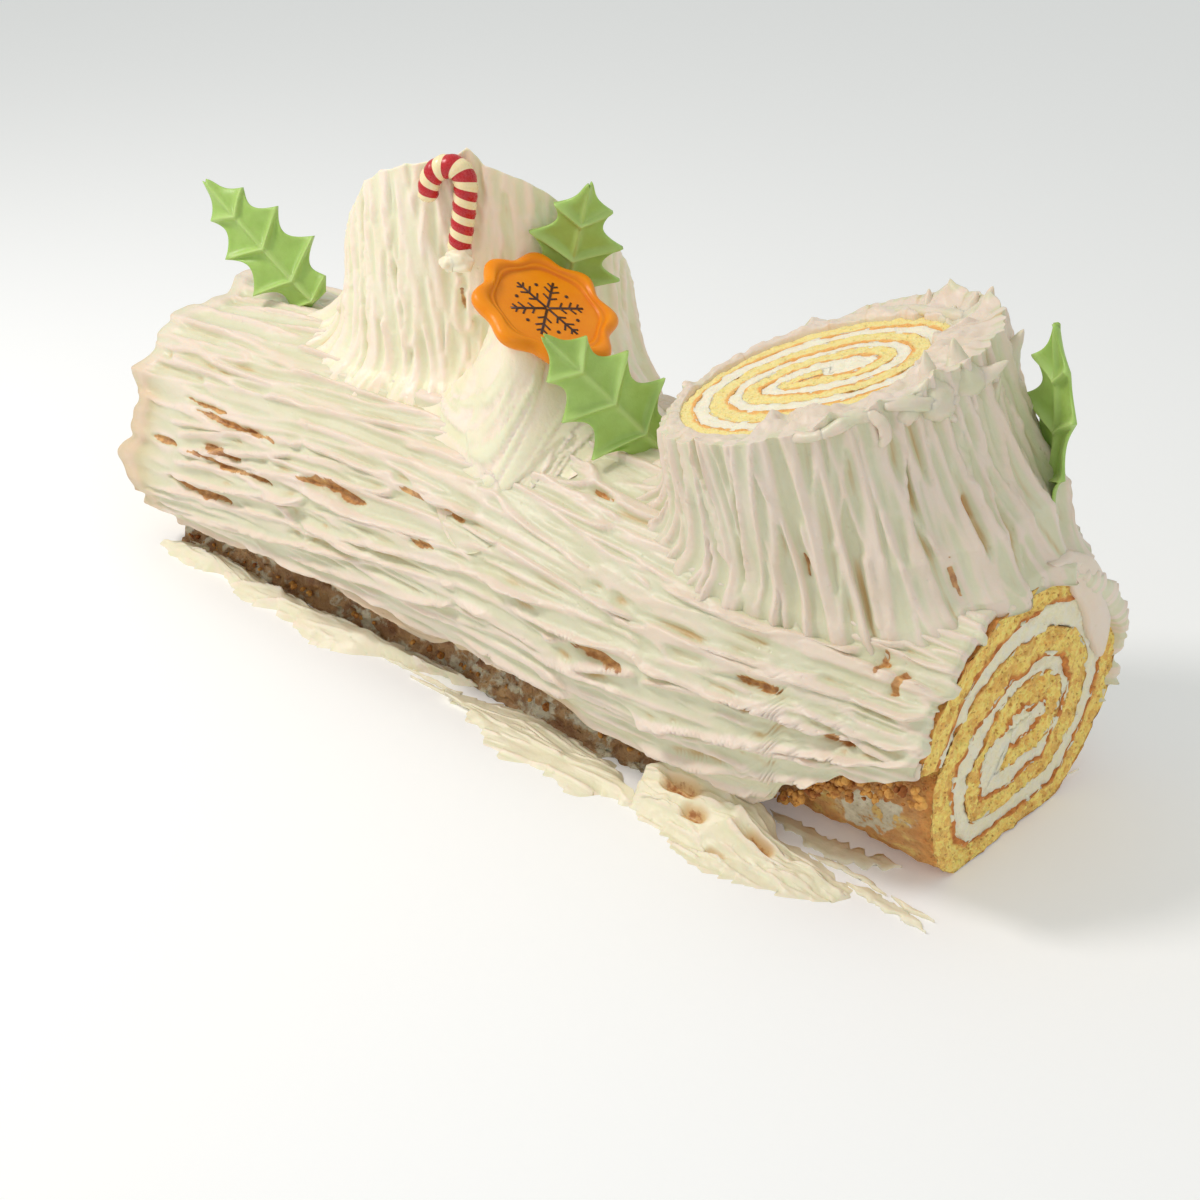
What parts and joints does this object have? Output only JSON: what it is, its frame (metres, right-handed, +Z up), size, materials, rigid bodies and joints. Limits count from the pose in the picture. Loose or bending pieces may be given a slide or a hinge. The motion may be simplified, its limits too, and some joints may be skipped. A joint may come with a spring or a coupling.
{
  "type": "yule log cake",
  "caption": "Cream-coated Swiss roll log cake with slanted roll stumps on top, dressed with moulded holly leaves, a wax-seal plaque and a small candy cane.",
  "frame": {"origin": "on the resting face, under the middle of the log", "axes": "+X along the log towards the cut end that shows, +Y towards the back of the cake, +Z up"},
  "size_m": [0.3027, 0.1212, 0.1468],
  "materials": {
    "sponge": "open crumb",
    "cream": "whipped cream, semi-matt",
    "leaf_icing": "moulded icing",
    "seal_icing": "moulded icing with a soft sheen",
    "cane_icing": "boiled sugar, striped"
  },
  "bodies": {
    "root": {"log_sponge": "sponge", "log_filling": "cream", "right_stump_sponge": "sponge", "right_stump_filling": "cream", "left_stump_sponge": "sponge", "left_stump_filling": "cream", "cream_coat": "cream", "foot_cream_left": "cream", "foot_cream_middle": "cream", "foot_cream_right": "cream", "holly_leaf_1": "leaf_icing", "holly_leaf_2": "leaf_icing", "holly_leaf_3": "leaf_icing", "holly_leaf_4": "leaf_icing", "seal_plaque": "seal_icing", "candy_cane": "cane_icing"}
  },
  "joints": []
}
